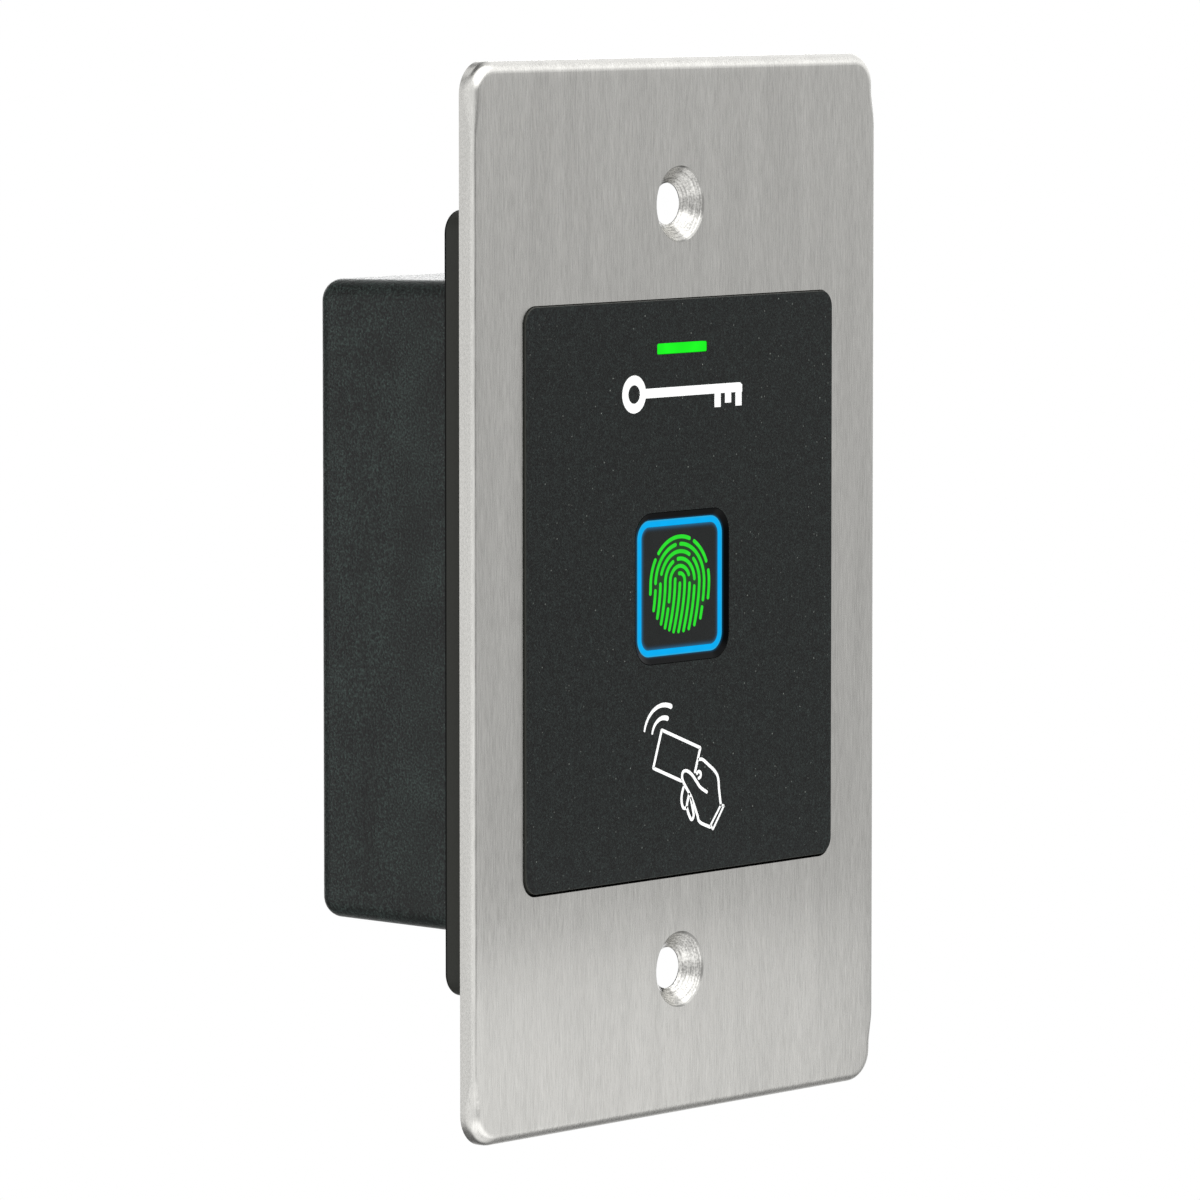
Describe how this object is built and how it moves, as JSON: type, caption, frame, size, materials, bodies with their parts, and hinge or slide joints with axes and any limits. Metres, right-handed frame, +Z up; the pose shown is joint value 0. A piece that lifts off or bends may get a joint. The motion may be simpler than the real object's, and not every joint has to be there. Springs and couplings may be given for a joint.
{
  "type": "fingerprint scanner terminal",
  "caption": "Flush wall-plate access terminal: steel face plate, raised black panel with a lit fingerprint reader and card reader, and a deep rear housing.",
  "frame": {"origin": "midway between the two wall-screw holes, on the back of the face plate, which is the wall plane", "axes": "+Z up; +Y into the wall, away from the person using it; +X to the right of that person"},
  "size_m": [0.07, 0.0333, 0.115],
  "materials": {
    "plate_steel": "brushed",
    "panel_plastic": "fine textured black with a light metal fleck",
    "cover_plastic": "spark-eroded matte black",
    "bezel_plastic": "gloss black",
    "ring_light": "clear light guide, lit blue",
    "reader_glass": "black coated glass",
    "status_light": "clear light guide, lit green",
    "circuit_board": "green solder mask",
    "chip_plastic": "moulded epoxy",
    "light_chip": "moulded light-emitting diode",
    "connector_plastic": "natural nylon",
    "film": "amber polyimide film",
    "copper": "enamelled copper wire",
    "contact_metal": "plated contact metal",
    "screw_steel": "zinc-plated steel",
    "relay_iron": "plated soft iron",
    "relay_plastic": "blue relay case",
    "bobbin_plastic": "natural moulded plastic",
    "can_metal": "drawn can",
    "seal_rubber": "moulded rubber",
    "clear_plastic": "clear plastic"
  },
  "bodies": {
    "terminal": {"face_plate": "plate_steel", "plate_studs": "screw_steel", "plate_nuts": "screw_steel", "plate_seal": "seal_rubber", "front_housing": "panel_plastic", "sensor_bezel": "bezel_plastic", "light_ring": "ring_light", "sensor_window": "reader_glass", "sensor_chip": "chip_plastic", "sensor_board": "circuit_board", "sensor_leds": "light_chip", "sensor_processor": "chip_plastic", "sensor_screws": "screw_steel", "flex_connectors": "connector_plastic", "sensor_flex": "film", "antenna_coil": "copper", "antenna_leads": "copper", "status_light_pipe": "status_light", "status_leds": "light_chip", "main_board": "circuit_board", "board_screws": "screw_steel", "main_processor": "chip_plastic", "voltage_regulator": "chip_plastic", "power_inductor": "chip_plastic", "capacitors": "can_metal", "buzzer": "chip_plastic", "wiring_header": "connector_plastic", "header_pins": "contact_metal", "relay_base": "relay_plastic", "relay_case": "relay_plastic", "relay_pins": "contact_metal", "relay_yoke": "relay_iron", "relay_core": "relay_iron", "relay_bobbin": "bobbin_plastic", "relay_winding": "copper", "relay_contacts": "contact_metal", "rear_cover": "cover_plastic", "cover_seal": "seal_rubber", "cover_screws": "screw_steel", "cable_grommet": "seal_rubber", "tamper_window": "clear_plastic", "tamper_sensor": "light_chip"},
    "armature": {"relay_armature": "relay_iron", "relay_contact_spring": "contact_metal"}
  },
  "joints": [
    {"name": "relay_armature_hinge", "type": "hinge", "parent": "terminal", "child": "armature", "pos_m": [-0.0095, 0.0194, 0.0141], "axis": [-1, 0, 0], "range_deg": [0, 3], "stiffness_Nm_per_rad": 0.01, "springref_deg": -5.73}
  ]
}
